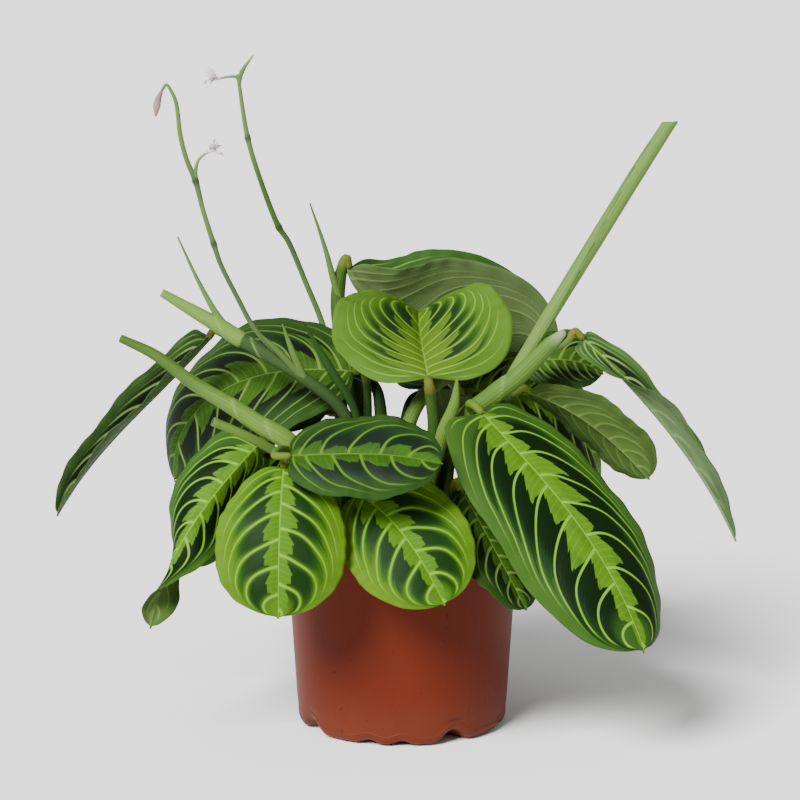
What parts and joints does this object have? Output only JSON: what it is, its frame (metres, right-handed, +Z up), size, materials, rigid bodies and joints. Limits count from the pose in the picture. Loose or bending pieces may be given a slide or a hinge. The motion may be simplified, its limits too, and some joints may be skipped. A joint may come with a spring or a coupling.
{
  "type": "potted prayer plant",
  "caption": "Prayer plant in a tapered plastic nursery pot: leafy shoots with broad patterned blades, a rolled young leaf and thin flower stalks standing in soil.",
  "frame": {"origin": "centre of the pot's flat base", "axes": "+Z up through the pot's axis, -Y towards the viewer of the picture, +X to the viewer's right"},
  "size_m": [0.3336, 0.2261, 0.3277],
  "materials": {
    "pot": "terracotta-coloured moulded plastic, satin, faint speckle",
    "soil": "dark peaty potting soil, matt and crumbly",
    "dark_leaf": "mature leaf: dark blotches between light arching veins, pale saw-toothed middle band, satin",
    "lime_leaf": "young leaf: lime green with dark green blotches between light veins, satin",
    "blue_leaf": "bluish green leaf with darker blotches and a soft sheen",
    "stem": "green plant stem, satin, lightly ribbed",
    "pale_stem": "pale green rolled leaf and sheath, satin",
    "petal": "thin whitish petals with a lilac tint"
  },
  "bodies": {
    "root": {"pot": "pot", "soil": "soil", "leaf_front_left": "lime_leaf", "leaf_front_middle": "lime_leaf", "leaf_middle": "blue_leaf", "leaf_right_large": "dark_leaf", "leaf_right_back": "dark_leaf", "leaf_right_small": "dark_leaf", "leaf_far_right": "dark_leaf", "leaf_top_back": "dark_leaf", "leaf_heart": "lime_leaf", "leaf_back_left": "dark_leaf", "leaf_far_left": "dark_leaf", "leaf_left_low": "dark_leaf", "leaf_left_behind": "dark_leaf", "leaf_right_low": "dark_leaf", "leaf_right_low_back": "dark_leaf", "leaf_rear_left_high": "dark_leaf", "leaf_rear_right_high": "dark_leaf", "leaf_rear_middle": "dark_leaf", "leaf_rear_left_mid": "dark_leaf", "leaf_rear_left_low": "dark_leaf", "leaf_rear_right_low": "dark_leaf", "leaf_rear_low": "dark_leaf", "leaf_right_side": "dark_leaf", "shoot_left": "pale_stem", "shoot_upper_left": "stem", "flower_stalk_left": "stem", "flower_stalk_right": "stem", "shoot_top_back": "stem", "shoot_centre": "stem", "shoot_rear_right": "pale_stem", "shoot_rear_middle": "stem", "shoot_rear_left": "stem", "shoot_back_left": "stem", "shoot_right": "pale_stem", "rolled_leaf_right": "pale_stem", "shoot_front": "stem", "shoot_front_right": "stem", "shoot_right_back": "stem", "shoot_left_behind": "stem", "shoot_rear_left_low": "stem", "shoot_rear_right_low": "stem", "shoot_rear_low": "stem", "shoot_right_side": "stem", "flower_left_open": "petal", "flower_right_open": "petal", "flower_left_bud": "petal"}
  },
  "joints": []
}
